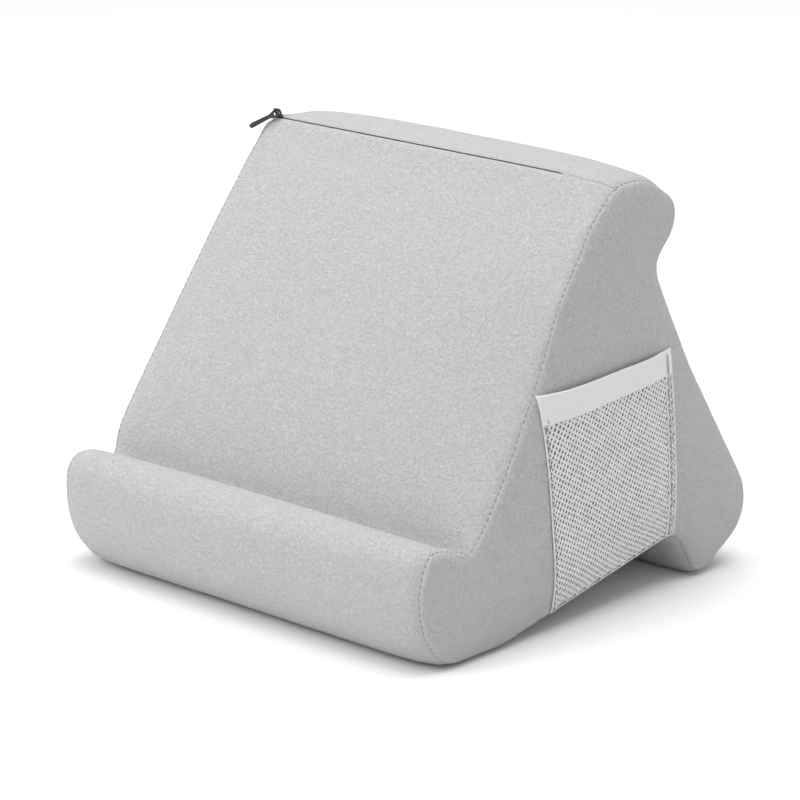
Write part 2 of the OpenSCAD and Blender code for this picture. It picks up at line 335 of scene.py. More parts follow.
class Outline:
    """The smooth section outline, measured along its length from the sole seam."""

    step = 0.25
    softness = 3.0

    def __init__(self, loop, start):
        closed = np.vstack([loop, loop[:1]])
        along = distances(closed)
        self.length = along[-1]
        count = round(self.length / self.step)
        self.along = np.arange(count) * self.length / count
        raw = points_at(closed, along, self.along)
        first = np.argmin(np.linalg.norm(raw - start, axis=1))
        self.raw = np.roll(raw, -first, axis=0)
        self.set_points(smoothed(self.raw, self.step, self.softness))

    def set_points(self, points):
        self.points = points
        self.normals = outwards(points)

    def read(self, values, s):
        """Reads values that are given all along the outline at the distances s."""
        return np.interp(s, self.along, values, period=self.length)

    def at(self, s):
        """Points and outward normals at the distances s, each as (y, z)."""
        points = np.stack([self.read(self.points[:, k], s) for k in (0, 1)], axis=-1)
        normals = np.stack([self.read(self.normals[:, k], s) for k in (0, 1)], axis=-1)
        return points, unit(normals)

    def find(self, points):
        """Distances along the outline of the points that lie on it."""
        gaps = np.linalg.norm(points[:, None] - self.raw[None], axis=2)
        nearest = gaps.argmin(axis=1)
        return self.along[nearest[gaps.min(axis=1) < 0.3]]


def sole_seam():
    lip = cad_points("lip_panel")
    return np.array([lip[lip[:, 2] < 0.1, 1].max(), 0.0])


def strip_starts(outline):
    """Where each strip starts: its points leave one great gap round the outline, which ends there."""
    starts = []
    for node in STRIPS:
        found = np.unique(outline.find(cad_points(node)[:, 1:]))
        gaps = np.diff(np.append(found, found[0] + outline.length))
        starts.append(found[(gaps.argmax() + 1) % len(found)])
    starts[0] = 0.0
    return np.array(starts)


OUTLINE = Outline(section_loop(), sole_seam())
STARTS = strip_starts(OUTLINE)
LENGTHS = np.diff(np.append(STARTS, OUTLINE.length))
SEAM_AT = dict(zip(SEAMS, STARTS))


# ---- The cover's surface ----

def from_seam(s, seam):
    """Distance along the outline from a seam, negative before it."""
    half = OUTLINE.length / 2
    return (s - SEAM_AT[seam] + half) % OUTLINE.length - half


def round_notches():
    """Rounds the outline where the cloth spans the two notches behind."""
    points = OUTLINE.points
    wide = smoothed(points, OUTLINE.step, NOTCH_SOFTNESS)
    for seam in ("nose_notch", "base_notch"):
        weight = fade(from_seam(OUTLINE.along, seam), NOTCH_REACH)
        points = points + weight[:, None] * (wide - points)
    OUTLINE.set_points(points)


round_notches()


def end_lines():
    """The values of ENDS, all along the outline."""
    rows = [
        (start + entry[0] * length, *entry[1:])
        for strip, start, length in zip(STRIPS, STARTS, LENGTHS)
        for entry in ENDS[strip]
    ]
    at, *columns = np.array(rows).T
    lines = [np.interp(OUTLINE.along, at, v, period=OUTLINE.length) for v in columns]
    return [smoothed(line, OUTLINE.step, END_SOFTNESS) for line in lines]


RIGHT_DEPTH, LEFT_DEPTH, END_WIDTH, LEFT_INSET = end_lines()


def slit_open(x):
    """How far the slit over the zipper is open at x: 1 over the chain, 0 past its ends."""
    low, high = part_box("zip_tape_front")
    from_left = x - low.x / MM + SLIT_PAST
    from_right = high.x / MM + SLIT_PAST - x
    return np.clip(from_left / SLIT_CLOSE, 0, 1) * np.clip(from_right / SLIT_CLOSE, 0, 1)


def half_width(z):
    """How far the side seams lie from the middle, at a height."""
    return FOOT_X - SEAM_INSET - LEAN * z


def strip_surface(s, share, zip_side):
    """Points of the strips at the distances s, with share running from -1 at the left seam to 1.

    zip_side is -1 before the zipper's slit, 1 behind it, and 0 where there is none."""
    half = half_width(OUTLINE.at(s)[0][..., 1])
    x = half * share
    to_top = from_seam(s, "top")
    opening = slit_open(x) * np.exp(-np.abs(to_top) / SLIT_FADE) if zip_side else 0.0
    points, normals = OUTLINE.at(s + zip_side * SLIT_HALF * opening)
    width = OUTLINE.read(END_WIDTH, s)
    left_width = width + (SLIDER_DROP - width) * fade(to_top, SLIDER_REACH)
    inward = OUTLINE.read(RIGHT_DEPTH, s) * np.exp(-half * (1 - share) / width)
    left_share = np.exp(-half * (1 + share) / left_width)
    inward = inward + OUTLINE.read(LEFT_DEPTH, s) * left_share
    for seam, (crease, reach) in CREASES.items():
        away = np.abs(from_seam(s, seam))
        if seam == "top":
            crease = crease * (1 - slit_open(x))
        inward = inward + crease * np.exp(-away / reach)
    inward = inward + SLIT_ROLL * opening
    points = points - inward[..., None] * normals
    x = share * half_width(points[..., 1])
    x = x + OUTLINE.read(LEFT_INSET, s) * np.clip(-share, 0, 1) ** 3
    return np.concatenate([x[..., None], points], axis=-1), normals


def inside_points(seam, step, rings):
    """Points inside a side panel: rings that follow its seam, then an even grid."""
    outward = outwards(seam)
    tree = KDTree(len(seam))
    for index, point in enumerate(seam):
        tree.insert((*point, 0), index)
    tree.balance()

    def depth(point):
        near, index, gap = tree.find((*point, 0))
        return gap if (point - seam[index]) @ outward[index] < 0 else -gap

    kept = []
    taken = set()
    for ring in rings:
        for point in seam - ring * outward:
            cell = (ring, *(point / (0.8 * step)).round())
            if depth(point) > 0.93 * ring and cell not in taken:
                taken.add(cell)
                kept.append(point)
    low, high = seam.min(axis=0), seam.max(axis=0)
    clear = (rings[-1] if rings else 0.0) + 0.6 * step
    for row, z in enumerate(np.arange(low[1], high[1], step * math.sqrt(0.75))):
        for y in np.arange(low[0] + 0.5 * step * (row % 2), high[0], step):
            point = np.array([y, z])
            if depth(point) > clear:
                kept.append(point)
    return np.array(kept)


def side_surface(seam, seam_x, seam_normals, inner, hand):
    """The points of a side panel, their distances from its seam, and the seam's normals nearest to them."""
    gaps = np.linalg.norm(inner[:, None] - seam[None], axis=2)
    nearest = gaps.argmin(axis=1)
    gap = gaps.min(axis=1)
    out = SIDE_BULGE * quarter_round(gap, SIDE_ROUND)
    blend = INSET_BLEND * np.clip(gap / SIDE_ROUND, 0.2, 1)
    near = np.exp(-(gaps - gap[:, None]) / blend[:, None])
    offset = seam_x - hand * half_width(seam[:, 1])
    inset = near @ offset / near.sum(axis=1) * np.exp(-gap / INSET_REACH)
    x = hand * (half_width(inner[:, 1]) + out) + inset
    return np.column_stack([x, inner]), gap, seam_normals[nearest]


def strip_rows(step, seam_steps, with_slit):
    """The rows across the strips: the distance and the slit's side of each, and each strip's own rows.

    A row on a seam belongs to both strips, but at the slit each strip has its own."""
    row_s, row_zip, own_rows = [], [], []
    for k, (start, length) in enumerate(zip(STARTS, LENGTHS)):
        starts_at_slit = with_slit and SEAMS[k] == "top"
        ends_at_slit = with_slit and SEAMS[(k + 1) % len(SEAMS)] == "top"
        own = start + stations(length, step, seam_steps)
        first = len(row_s)
        count = len(own) if ends_at_slit else len(own) - 1
        row_s.extend(own[:count])
        row_zip.extend([1 if starts_at_slit else -1 if ends_at_slit else 0] * count)
        own_rows.append(list(range(first, first + count)))
        if not ends_at_slit:
            own_rows[-1].append(first + count)
    own_rows[-1][-1] = 0
    return np.array(row_s), row_zip, own_rows


def filled(loop_points, inner):
    """Triangles that fill a closed line of (y, z) points through the points inside it."""
    places = [Vector(p) for p in np.vstack([loop_points, inner])]
    border = [list(range(len(loop_points)))]
    _, _, triangles, origins, _, _ = geometry.delaunay_2d_cdt(places, [], border, 1, 1e-6)
    return [[origins[v][0] for v in triangle] for triangle in triangles]


def cover_surface(step, seam_steps, rings, with_slit):
    """The closed cover: its points and each panel's faces, where panels share the points on a seam."""
    half = FOOT_X - SEAM_INSET
    shares = stations(2 * half, step, seam_steps) / half - 1
    columns = len(shares)
    row_s, row_zip, own_rows = strip_rows(step, seam_steps, with_slit)
    rows = [strip_surface(np.full(columns, s), shares, side) for s, side in zip(row_s, row_zip)]
    points = np.concatenate([row[0] for row in rows])
    normals = np.concatenate([row[1] for row in rows])
    seam_gap = np.tile(half * (1 - np.abs(shares)), len(row_s))
    panels = {}
    seam_lines = {}
    for seam, strip, own in zip(SEAMS, STRIPS, own_rows):
        seam_lines[seam] = np.arange(own[0] * columns, (own[0] + 1) * columns)
        panels[strip] = [
            (a * columns + c, a * columns + c + 1, b * columns + c + 1, b * columns + c)
            for a, b in zip(own, own[1:])
            for c in range(columns - 1)
        ]
    loop_rows = [r for r in range(len(row_s)) if r == 0 or row_s[r] - row_s[r - 1] > 1e-6]
    for panel, hand in SIDES.items():
        column = 0 if hand < 0 else columns - 1
        loop = np.array([r * columns + column for r in loop_rows])
        seam_lines[panel] = np.append(loop, loop[0])
        inner = inside_points(points[loop, 1:], step, rings)
        number = np.concatenate([loop, len(points) + np.arange(len(inner))])
        faces = [[number[v] for v in triangle] for triangle in filled(points[loop, 1:], inner)]
        panels[panel] = [face[::-1] for face in faces] if hand < 0 else faces
        side_points, gap, side_normals = side_surface(
            points[loop, 1:], points[loop, 0], normals[loop], inner, hand
        )
        points = np.vstack([points, side_points])
        normals = np.vstack([normals, side_normals])
        seam_gap = np.concatenate([seam_gap, gap])
    return {"points": points, "panels": panels, "seams": seam_lines, "down": -normals, "seam_gap": seam_gap}


def every_face(surface):
    return [face for faces in surface["panels"].values() for face in faces]


def vertex_normals(points, faces):
    """Area-weighted normals of a mesh of triangles and quads."""
    normals = np.zeros_like(points)
    for size in (3, 4):
        block = np.array([f for f in faces if len(f) == size])
        if len(block):
            across = points[block[:, 2]] - points[block[:, 0]]
            area = np.cross(across, points[block[:, -1]] - points[block[:, 1]])
            for k in range(size):
                np.add.at(normals, block[:, k], area)
    return unit(normals)


def zip_distance(points):
    """How far points lie from the seam over the zipper."""
    return np.hypot(*(points[:, 1:] - OUTLINE.at(SEAM_AT["top"])[0]).T)


def crease_sides(cover):
    """Presses the crease along the side seams into the cover."""
    press = GROOVE_DEPTH * np.exp(-cover["seam_gap"] / GROOVE_REACH)
    cover["points"][:, 1:] += press[:, None] * cover["down"]


def thick_piece(name, points, normals, faces, outer, inner, material):
    """A layer of fabric between two depths below a surface, closed along its edges."""
    used = sorted({v for f in faces for v in f})
    number = {v: k for k, v in enumerate(used)}
    top = [[number[v] for v in f] for f in faces]
    count = len(used)
    edges = {(f[k - 1], f[k]) for f in top for k in range(len(f))}
    rim = [(b, a, a + count, b + count) for a, b in edges if (b, a) not in edges]
    bottom = [[v + count for v in reversed(f)] for f in top]
    outer = np.broadcast_to(outer, len(points))[used, None]
    inner = np.broadcast_to(inner, len(points))[used, None]
    layers = np.vstack([points[used] - outer * normals[used], points[used] - inner * normals[used]])
    layers[:, 2] = np.maximum(layers[:, 2], 0.0)
    return make_object(name, layers, top + bottom + sorted(rim), material)


# ---- Puffing up the cover ----

def face_index(faces):
    return [tuple(int(v) for v in f) for f in faces]


def seam_points(surface):
    return np.unique(np.concatenate(list(surface["seams"].values())))


def seam_distance(points, seams):
    """Distance of each point from the nearest seam point."""
    tree = KDTree(len(seams))
    for index in seams:
        tree.insert(points[index], int(index))
    tree.balance()
    return np.array([tree.find(p)[2] for p in points])


def cloth_travel(cage, faces):
    """How far a cloth simulation carries each point of the cage when it is blown up."""
    scene = bpy.context.scene
    random = np.random.default_rng(7)
    points = cage["points"]
    seams = seam_points(cage)
    gap = seam_distance(points, seams)
    noise = random.normal(0, START_NOISE, len(points)) * np.clip(gap / NOISE_REACH, 0, 1)
    start = points + vertex_normals(points, faces) * noise[:, None]
    obj = make_object("cage", start, faces, PLUSH)
    pinned = obj.vertex_groups.new(name="pinned")
    pinned.add(seams.tolist(), 1.0, "REPLACE")
    gathered = obj.vertex_groups.new(name="gathered")
    for index, weight in enumerate(np.exp(-gap / GATHER_REACH)):
        gathered.add([index], float(weight), "REPLACE")
    cloth = obj.modifiers.new("puff", "CLOTH")
    settings = cloth.settings
    settings.quality = 6
    settings.mass = 0.2
    settings.tension_stiffness = 20
    settings.compression_stiffness = 20
    settings.shear_stiffness = 8
    settings.bending_stiffness = 0.6
    settings.vertex_group_mass = "pinned"
    settings.vertex_group_shrink = "gathered"
    settings.shrink_min = 0.0
    settings.shrink_max = -GATHERING
    settings.use_pressure = True
    settings.uniform_pressure_force = PRESSURE
    settings.effector_weights.gravity = 0
    cloth.collision_settings.use_collision = False
    cloth.point_cache.frame_start = 1
    cloth.point_cache.frame_end = LAST_FRAME
    for frame_number in range(1, LAST_FRAME + 1):
        scene.frame_set(frame_number)
    result = obj.evaluated_get(bpy.context.evaluated_depsgraph_get()).data
    moved = np.empty(3 * len(points))
    result.vertices.foreach_get("co", moved)
    scene.frame_set(1)
    bpy.data.objects.remove(obj)
    travel = moved.reshape(-1, 3) / MM - points
    length = np.linalg.norm(travel, axis=1, keepdims=True)
    return travel * TRAVEL_LIMIT * np.tanh(length / TRAVEL_LIMIT) / np.maximum(length, 1e-6)


def carried_over(cage, cage_faces, travel, points):
    """The travel of the cage at other points, each read off the nearest face of the cage."""
    places = [Vector(p) for p in cage["points"]]
    tree = BVHTree.FromPolygons(places, cage_faces)
    carried = np.zeros_like(points)
    for index, point in enumerate(points):
        location, _, face, _ = tree.find_nearest(Vector(point))
        corners = cage_faces[face]
        weights = poly_3d_calc([places[c] for c in corners], location)
        carried[index] = np.asarray(weights) @ travel[list(corners)]
    return carried


def evened(carried, cover):
    """Evens out the travel between neighbouring points, and holds the seams."""
    edges = np.array([(f[k - 1], f[k]) for f in every_face(cover) for k in range(len(f))])
    count = np.bincount(edges.ravel(), minlength=len(carried))[:, None]
    seams = seam_points(cover)
    for _ in range(SMOOTHING_TURNS):
        carried[seams] = 0.0
        total = np.zeros_like(carried)
        np.add.at(total, edges[:, 0], carried[edges[:, 1]])
        np.add.at(total, edges[:, 1], carried[edges[:, 0]])
        carried = (1 - SMOOTHING) * carried + SMOOTHING * total / np.maximum(count, 1)
    carried[seams] = 0.0
    return carried


def puff(cover):
    """Carries the puffs and puckers of the cloth simulation over to the cover."""
    cage = cover_surface(CAGE_STEP, (), (), False)
    cage_faces = face_index(every_face(cage))
    travel = cloth_travel(cage, cage_faces)
    carried = evened(carried_over(cage, cage_faces, travel, cover["points"]), cover)
    cover["points"] += carried * (1 - fade(zip_distance(cover["points"]), ZIP_CALM))[:, None]


# ---- Shapes made along lines ----

TUBE_END = 0.45       # how thick the ends of a thread are, as a share of its radius


def swept_faces(rows, sides):
    """The faces of a section swept over rows, closed at both ends."""
    faces = []
    for row in range(rows - 1):
        for side in range(sides):
            other = (side + 1) % sides
            here, there = row * sides, (row + 1) * sides
            faces.append((here + side, there + side, there + other, here + other))
    faces.append(tuple(range(sides)))
    faces.append(tuple((rows - 1) * sides + side for side in range(sides))[::-1])
    return faces


def tube(path, radius, sides=6):
    """A closed round thread along a path, with rounded ends: points and faces."""
    path = np.asarray(path, dtype=float)
    along = unit(np.gradient(path, axis=0))
    guide = np.where(np.abs(along[:, :1]) > 0.8, [[0.0, 0.0, 1.0]], [[1.0, 0.0, 0.0]])
    first = unit(np.cross(along, guide))
    second = np.cross(along, first)
    reach = np.full((len(path), 1), radius)
    reach[[0, -1]] *= TUBE_END
    angles = np.linspace(0, 2 * math.pi, sides, endpoint=False)
    flanks = [path + reach * (math.cos(a) * first + math.sin(a) * second) for a in angles]
    points = np.stack(flanks, axis=1).reshape(-1, 3)
    faces = [face[::-1] for face in swept_faces(len(path), sides)]
    return points, faces


def merged(parts):
    """Several (points, faces) pairs as one."""
    points, faces, first = [], [], 0
    for part_points, part_faces in parts:
        points.append(part_points)
        faces.extend(tuple(v + first for v in f) for f in part_faces)
        first += len(part_points)
    return np.vstack(points), faces


def stitches(line, normals):
    """Stitches along a line of points: each one dives at both ends into the fabric."""
    along = distances(line)
    arch = np.sin(np.linspace(0, math.pi, 6)) ** 0.5
    lift = STITCH_SINK + STITCH_LIFT * arch[:, None]
    parts = []
    for start in np.arange(0.4 * STITCH_PITCH, along[-1] - STITCH_LENGTH, STITCH_PITCH):
        at = np.linspace(start, start + STITCH_LENGTH, len(arch))
        path = points_at(line, along, at) + lift * points_at(normals, along, at)
        parts.append(tube(path, STITCH_RADIUS))
    return parts


# ---- Pieces of the cover ----

def seam_threads(cover, normals):
    """The stitches that show along the seams, in thread painted dark as painted shade for the shadowed
    needle pits; none cross the zipper.
    """
    points = cover["points"]
    parts = []
    slit_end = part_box("zip_tape_front")[1].x / MM + 2
    for seam, line in cover["seams"].items():
        if seam == "top":
            line = line[points[line, 0] > slit_end]
        parts += stitches(points[line], normals[line])
    piece = make_object("seam_threads", *merged(parts), THREAD_PAINTED_DARK_AS_SHADE)
    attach(piece, "stand")


def cover_panels(cover, normals):
    for panel, faces in cover["panels"].items():
        piece = thick_piece(panel + "_cloth", cover["points"], normals, faces, 0.0, COVER_T, PLUSH)
        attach(piece, "stand")
        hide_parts(panel)


def liners(inner):
    """The thin bag round the foam: a band round the section, open at the zipper, and two side pieces."""
    points, panels = inner["points"], inner["panels"]
    normals = vertex_normals(points, every_face(inner))
    near_zip = zip_distance(points) < LINER_GAP
    cut = {
        "liner_band": [f for strip in STRIPS for f in panels[strip] if not near_zip[list(f)].any()],
        "liner_side_left": panels["side_panel_left"],
        "liner_side_right": panels["side_panel_right"],
    }
    for node, faces in cut.items():
        depths = (LINER_DEPTH, LINER_DEPTH + LINER_T)
        piece = thick_piece(node + "_cloth", points, normals, faces, *depths, LINER)
        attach(piece, "stand")
        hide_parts(node)


def foam(inner):
    """The foam block: the cover's shape drawn in, deeper under the zipper, with soft edges."""
    points = inner["points"]
    faces = every_face(inner)
    normals = vertex_normals(points, faces)
    depth = FOAM_DEPTH + ZIP_GROOVE * fade(zip_distance(points), GROOVE_WIDTH)
    piece = make_object("foam_core_block", points - depth[:, None] * normals, faces, FOAM)
    remesh = piece.modifiers.new("remesh", "REMESH")
    remesh.mode = "VOXEL"
    remesh.voxel_size = FOAM_VOXEL * MM
    soften = piece.modifiers.new("soften", "SMOOTH")
    soften.factor = 0.5
    soften.iterations = 6
    result = bpy.data.meshes.new_from_object(piece.evaluated_get(bpy.context.evaluated_depsgraph_get()))
    piece.modifiers.clear()
    piece.data = result
    result.polygons.foreach_set("use_smooth", [True] * len(result.polygons))
    result.materials.clear()
    result.materials.append(FOAM)
    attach(piece, "stand")
    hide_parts("foam_core")


# ---- Zipper ----

def zip_tape(node):
    """A woven tape along the CAD tape's section, with the fine ribs of its weave."""
    low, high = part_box(node)
    right = high.x / MM
    loop = flat_loop(node, lambda p: p[:, 0] > right - 0.01)
    closed = np.vstack([loop, loop[:1]])
    along = distances(closed)
    at = np.linspace(0, along[-1], round(along[-1] / TAPE_STEP), endpoint=False)
    section = points_at(closed, along, at)
    x = np.arange(low.x / MM, right, 0.5 * TAPE_STEP)
    weave = np.sin(math.pi * x[:, None] / TAPE_STEP) * np.cos(math.pi * at / TAPE_STEP)
    rib = TAPE_RIB * (weave - 1)
    flat = section[None] + rib[..., None] * outwards(section)[None]
    points = np.concatenate([np.broadcast_to(x[:, None, None], (*rib.shape, 1)), flat], axis=2)
    piece = make_object(node + "_weave", points.reshape(-1, 3), swept_faces(len(x), len(section)), TAPE)
    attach(piece, "stand")
    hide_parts(node)


def zip_coil(node, other_node, turn):
    """One side of the chain: a nylon thread wound in a flat coil."""
    points = cad_points(node)
    other = cad_points(other_node)
    centre = (points.min(axis=0) + points.max(axis=0))[1:] / 2
    across = unit((other.min(axis=0) + other.max(axis=0))[1:] / 2 - centre)
    up = np.array([-across[1], across[0]])
    from_centre = points[:, 1:] - centre
    reach = [np.ptp(from_centre @ axis) / 2 - COIL_WIRE for axis in (across, up)]
    left, right = points[:, 0].min() + COIL_END, points[:, 0].max() - COIL_END
    turns = (right - left) / COIL_PITCH
    angle = np.linspace(0, 2 * math.pi * turns, int(COIL_POINTS * turns))
    x = left + COIL_PITCH * angle / (2 * math.pi)
    angle = angle + turn
    wound = np.cos(angle)[:, None] * reach[0] * across + np.sin(angle)[:, None] * reach[1] * up
    piece = make_object(node + "_wire", *tube(np.column_stack([x, centre + wound]), COIL_WIRE, 5), COIL)
    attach(piece, "stand")
    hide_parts(node)


# ---- Mesh pocket ----

def corner(node, toward_rear, toward_top):
    """The point of a CAD node that lies farthest in a direction, as (y, z)."""
    points = cad_points(node)[:, 1:]
    return points[(points @ (toward_rear, toward_top)).argmax()]


class Pocket:
    """Places points by their distance across from the front edge, up from the foot and out of the net."""

    def __init__(self, cover):
        self.foot = [corner("pocket_mesh", -1, -1), corner("pocket_mesh", 1, -1)] + FOOT_SHIFT
        self.mouth = [corner("pocket_elastic", -1, 1), corner("pocket_elastic", 1, 1)] + MOUTH_SHIFT
        self.width = np.linalg.norm(self.mouth[1] - self.mouth[0])
        self.height = np.linalg.norm(self.mouth[0] + self.mouth[1] - self.foot[0] - self.foot[1]) / 2
        self.band_foot = self.height - BAND_W
        self.band_up = self.height - BAND_W / 2
        self.net_top = self.band_foot + NET_UNDER_BAND
        self.hem_line = self.width - HEM_W + 1.2
        self.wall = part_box("pocket_mesh")[1].x / MM - 0.3
        panel = cover["panels"]["side_panel_right"]
        self.tree = BVHTree.FromPolygons([Vector(p) for p in cover["points"]], face_index(panel))

    def panel_x(self, y, z):
        """How far out the side panel is."""
        hit = self.tree.ray_cast(Vector((200, y, z)), Vector((-1, 0, 0)))[0]
        return hit.x if hit else half_width(z)

    def rise(self, across, up):
        """How far the net stands out: from 0 at its edges to 1 in the middle."""
        front, rear, foot = NET_RISE
        from_sides = eased((across - 1) / front) * eased((self.width - 2 - across) / rear)
        return from_sides * eased((up - 2) / foot)

    def place(self, across, up, out):
        u, w = across / self.width, up / self.height
        foot = self.foot[0] + u[..., None] * (self.foot[1] - self.foot[0])
        mouth = self.mouth[0] + u[..., None] * (self.mouth[1] - self.mouth[0])
        flat = foot + w[..., None] * (mouth - foot)
        panel = np.array([self.panel_x(y, z) for y, z in flat.reshape(-1, 2)]).reshape(flat.shape[:-1])
        room = np.maximum(self.wall - panel - NET_LIFT, 0)
        ripple = NET_RIPPLE * np.sin(across / 9 + up / 14) * np.sin(up / 17 - across / 23 + 1)
        x = panel + NET_LIFT + NET_BULGE * self.rise(across, up) * (room + ripple) + out
        return np.concatenate([x[..., None], flat], axis=-1)


def pocket_strip(pocket, name, path, half_w, half_t, material, lift=0.0, ribs=0.0):
    """A flat strip along a path given as (across, up) points, with rounded edges and ends."""
    path = np.asarray(path, dtype=float)
    length = distances(path)
    at = stations(length[-1], STRIP_STEP, STRIP_ENDS)
    line = points_at(path, length, at)
    along = unit(np.gradient(line, at, axis=0))
    sideways = np.column_stack([-along[:, 1], along[:, 0]])
    flank = np.linspace(-1, 1, 2 * max(3, int(half_w / STRIP_RIB)) + 1)
    close = 0.15 + 0.85 * quarter_round(np.minimum(at, length[-1] - at), STRIP_ENDS[-1])
    outer = half_t + ribs * np.cos(math.pi * np.arange(len(flank)))
    outer = outer * quarter_round(half_w * (1 - np.abs(flank)), half_t)
    across = np.concatenate([flank, flank[-2:0:-1]]) * half_w
    thick = np.concatenate([outer, -outer[-2:0:-1]])
    place = line[:, None] + across[None, :, None] * sideways[:, None]
    points = pocket.place(place[..., 0], place[..., 1], lift + thick[None] * close[:, None])
    piece = make_object(name, points.reshape(-1, 3), swept_faces(len(at), len(across)), material)
    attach(piece, "stand")
    return piece


def turned(points, degrees):
    turn = math.radians(degrees)
    cos, sin = math.cos(turn), math.sin(turn)
    return np.asarray(points) @ np.array([[cos, sin], [-sin, cos]])


def net_cell():
    """One cell of the net round its hole: 12 points on its rim, and 12 on the hole."""
    a, b = turned([(NET_PITCH / 2, -NET_ROW), (NET_PITCH / 2, NET_ROW)], NET_TURN)
    near = [a, a + b, b, -a, -a - b, -b]
    corners = []
    for first, second in zip(near, near[1:] + near[:1]):
        corners.append(np.linalg.solve([first, second], [first @ first / 2, second @ second / 2]))
    middles = [(c + d) / 2 for c, d in zip(corners, corners[1:] + corners[:1])]
    rim = np.array([p for pair in zip(corners, middles) for p in pair])
    along = turned(rim, -HOLE_TURN)
    angle = np.arctan2(along[:, 1], along[:, 0])
    hole = turned(np.column_stack([HOLE_HALF[0] * np.cos(angle), HOLE_HALF[1] * np.sin(angle)]), HOLE_TURN)
    return a, b, rim, hole


def flat_net(low, high):
    """A flat net between two (across, up) corners: its points, which of them are on holes, its faces."""
    a, b, rim, hole = net_cell()
    random = np.random.default_rng(11)
    number, flat, on_hole, faces = {}, [], [], []

    def vertex(point, is_hole):
        key = tuple(np.round(point, 3))
        if key not in number:
            number[key] = len(flat)
            flat.append(point)
            on_hole.append(is_hole)
        return number[key]

    span = int(2 * max(high) / NET_ROW)
    for i in range(-span, span):
        for j in range(-span, span):
            centre = i * a + j * b
            if (centre + rim < low).any() or (centre + rim > high).any():
                continue
            size = random.uniform(*HOLE_SPREAD)
            outer = [vertex(centre + p, False) for p in rim]
            inner = [vertex(centre + size * p, True) for p in hole]
            for k in range(len(rim)):
                other = (k + 1) % len(rim)
                faces.append((outer[k], outer[other], inner[other], inner[k]))
    return np.array(flat), on_hole, faces


def net(pocket, name, low, high, lift):
    """Net between two (across, up) corners: staggered oval holes between rounded strands."""
    flat, on_hole, faces = flat_net(low, high)
    waves = NET_WAVE * np.column_stack([
        np.sin(flat[:, 1] / 13 + flat[:, 0] / 31),
        np.sin(flat[:, 0] / 11 - flat[:, 1] / 37),
    ])
    inside = eased(np.min([flat - low, high - flat], axis=(0, 2)) / NET_MARGIN)
    flat = flat + waves * inside[:, None]
    points = pocket.place(flat[:, 0], flat[:, 1], np.full(len(flat), lift))
    normals = vertex_normals(points, faces)
    thick = np.where(on_hole, NET_T * 0.25, NET_T * 0.5)
    if normals[:, 0].mean() < 0:
        faces = [f[::-1] for f in faces]
        normals = -normals
    piece = thick_piece(name, points, normals, faces, -thick, thick, NET)
    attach(piece, "stand")
    return piece


def pocket_nets(pocket):
    """The net, and its hem folded back over it along the rear edge."""
    high = (pocket.width - NET_EDGE, pocket.net_top)
    mesh = net(pocket, "pocket_mesh_net", (NET_EDGE, NET_EDGE), high, 0.0)
    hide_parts("pocket_mesh")
    hem = net(pocket, "pocket_rear_hem", (pocket.width - HEM_W, NET_EDGE), high, HEM_LIFT)


def pocket_edges(pocket):
    """The bound edges of the net and of its hem."""
    width, top = pocket.width, pocket.band_up
    for name, start, end, lift in (
        ("pocket_front_edge", (EDGE_HALF, 0.4), (EDGE_HALF, top), 0.0),
        ("pocket_foot_edge", (EDGE_HALF, 0.4), (width - EDGE_HALF, 0.4), 0.0),
        ("pocket_rear_edge", (width - 0.5, 0.4), (width - 0.5, top), EDGE_LIFT),
        ("pocket_hem_edge", (width - HEM_W, 0.4), (width - HEM_W, top), EDGE_LIFT),
    ):
        edge = pocket_strip(pocket, name, (start, end), EDGE_HALF, EDGE_HALF_T, NET, lift)


def pocket_band(pocket):
    """The elastic band along the mouth, with its rear end folded over."""
    path = [(0, pocket.band_up), (pocket.width, pocket.band_up)]
    band = pocket_strip(pocket, "pocket_elastic_band", path, BAND_W / 2, 0.75, ELASTIC, 0.25, 0.03)
    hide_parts("pocket_elastic")
    middle = pocket.width - HEM_W / 2
    path = [(middle, pocket.band_foot + 0.2), (middle, pocket.height - 0.4)]
    fold = pocket_strip(
        pocket, "pocket_band_fold", path, HEM_W / 2 - 0.2, EDGE_HALF_T, ELASTIC, FOLD_LIFT, 0.02
    )


def pocket_tacks(pocket):
    """The tacks across both ends of the band: a short row in front, a full one behind."""
    arch = np.array([0.75, 1.0, 1.0, 0.75])
    tacks = []
    for across, count, lift in ((3.4, 3, 0.0), (pocket.hem_line, TACK_COUNT, FOLD_LIFT - 0.2)):
        for k in range(count):
            up = pocket.band_foot + 1.2 + k * (BAND_W - 3) / TACK_COUNT
            slant = 0.4 * (-1) ** k
            line = np.linspace((across - 0.6, up - slant), (across + 0.6, up + slant), len(arch))
            tacks.append(tube(pocket.place(line[:, 0], line[:, 1], arch + lift), TACK_RADIUS))
    piece = make_object("pocket_tack_threads", *merged(tacks), THREAD_PAINTED_DARK_AS_SHADE)
    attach(piece, "stand")
    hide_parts("pocket_bar_tacks")


def pocket_hem_stitches(pocket):
    """The stitches down the rear hem."""
    arch = np.array([0.6, 0.95, 1.0, 0.95, 0.6])
    across = np.full(len(arch), pocket.hem_line)
    parts = []
    for start in np.arange(2, pocket.band_foot - 3, HEM_PITCH):
        up = np.linspace(start, start + HEM_STITCH, len(arch))
        parts.append(tube(pocket.place(across, up, arch), STITCH_RADIUS))
    piece = make_object("pocket_hem_threads", *merged(parts), THREAD_PAINTED_DARK_AS_SHADE)
    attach(piece, "stand")
    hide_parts("pocket_hem_stitches")


def pocket_pieces(cover):
    pocket = Pocket(cover)
    pocket_nets(pocket)
    pocket_edges(pocket)
    pocket_band(pocket)
    pocket_tacks(pocket)
    pocket_hem_stitches(pocket)


# ---- Materials ----

